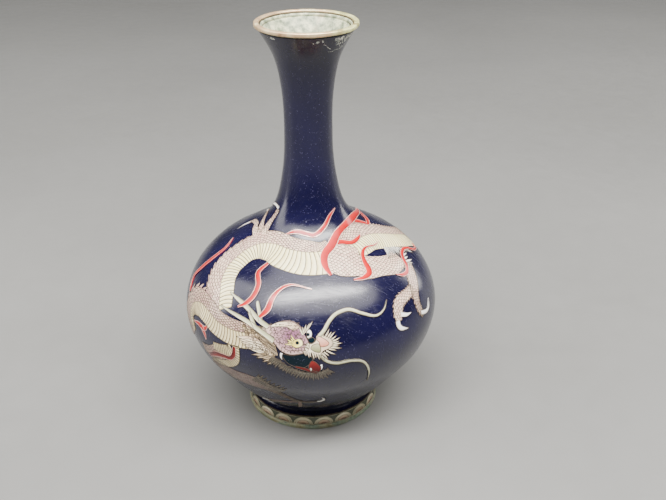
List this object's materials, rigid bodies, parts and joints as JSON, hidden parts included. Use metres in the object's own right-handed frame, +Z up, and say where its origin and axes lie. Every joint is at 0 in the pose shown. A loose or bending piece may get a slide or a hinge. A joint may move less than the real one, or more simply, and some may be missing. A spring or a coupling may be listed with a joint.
{
  "type": "cloisonne bottle vase",
  "caption": "Long-necked globular cloisonne enamel vase on a short foot, with a dragon among red flames on a midnight blue ground and bare metal collars",
  "frame": {"origin": "centre of the foot's resting circle on the ground plane", "axes": "+Z up along the vase's axis, -Y towards the face of the dragon, +X to the right of it"},
  "size_m": [0.1592, 0.1593, 0.2515],
  "materials": {
    "copper": "raised sheet copper, dull where it is bare",
    "solder": "silver solder, dull",
    "patinated_rim": "copper collar with pale peach wear and green verdigris",
    "silver_wire": "pale flat wire, polished level with the enamel",
    "ground_enamel": "polished midnight indigo vitreous enamel with fine pits",
    "collar_enamel": "polished midnight indigo vitreous enamel",
    "border_enamel": "green enamel with pale crescent arches, worn",
    "counter_enamel": "mottled grey-green counter enamel, slightly rough",
    "scale_enamel": "pinkish lilac enamel scales outlined in wire",
    "belly_enamel": "cream enamel plates outlined in wire",
    "limb_enamel": "pinkish cream enamel scales outlined in wire",
    "claw_enamel": "white enamel",
    "skull_enamel": "lilac enamel",
    "snout_enamel": "pale pink and cream enamel",
    "mane_enamel": "olive and cream enamel hair",
    "horn_enamel": "pale sage enamel",
    "eye_enamel": "pale yellow enamel",
    "flame_enamel": "coral red translucent enamel"
  },
  "bodies": {
    "root": {"copper_lower_bowl": "copper", "copper_shoulder": "copper", "copper_neck": "copper", "copper_foot_ring": "copper", "shoulder_solder_seam": "solder", "neck_solder_seam": "solder", "foot_solder_seam": "solder", "mouth_rim": "patinated_rim", "foot_rim": "patinated_rim", "foot_border_wire": "silver_wire", "body_seam_wire": "silver_wire", "ground_enamel": "ground_enamel", "foot_collar_enamel": "collar_enamel", "foot_border_enamel": "border_enamel", "bowl_counter_enamel": "counter_enamel", "neck_counter_enamel": "counter_enamel", "base_counter_enamel": "counter_enamel", "neck_scales": "scale_enamel", "chest_scales": "scale_enamel", "trunk_scales": "scale_enamel", "tail_scales": "scale_enamel", "neck_belly": "belly_enamel", "trunk_belly": "belly_enamel", "tail_belly": "belly_enamel", "rump": "limb_enamel", "thigh": "limb_enamel", "hind_leg": "limb_enamel", "upper_foreleg": "limb_enamel", "lower_foreleg": "limb_enamel", "hind_claw_inner": "claw_enamel", "hind_claw_outer": "claw_enamel", "upper_claw_high": "claw_enamel", "upper_claw_low": "claw_enamel", "lower_claw_near": "claw_enamel", "lower_claw_far": "claw_enamel", "skull": "skull_enamel", "snout": "snout_enamel", "nose": "snout_enamel", "mane": "mane_enamel", "lower_jaw": "mane_enamel", "horn_near": "horn_enamel", "horn_far": "horn_enamel", "whisker_upper": "horn_enamel", "whisker_lower": "horn_enamel", "eye_near": "eye_enamel", "eye_far": "eye_enamel", "tongue": "flame_enamel", "flame_rump": "flame_enamel", "flame_thigh": "flame_enamel", "flame_knee": "flame_enamel", "flame_neck": "flame_enamel", "flame_left": "flame_enamel", "flame_upper": "flame_enamel", "flame_lower": "flame_enamel", "flame_chest": "flame_enamel", "tail_tip": "flame_enamel"}
  },
  "joints": []
}
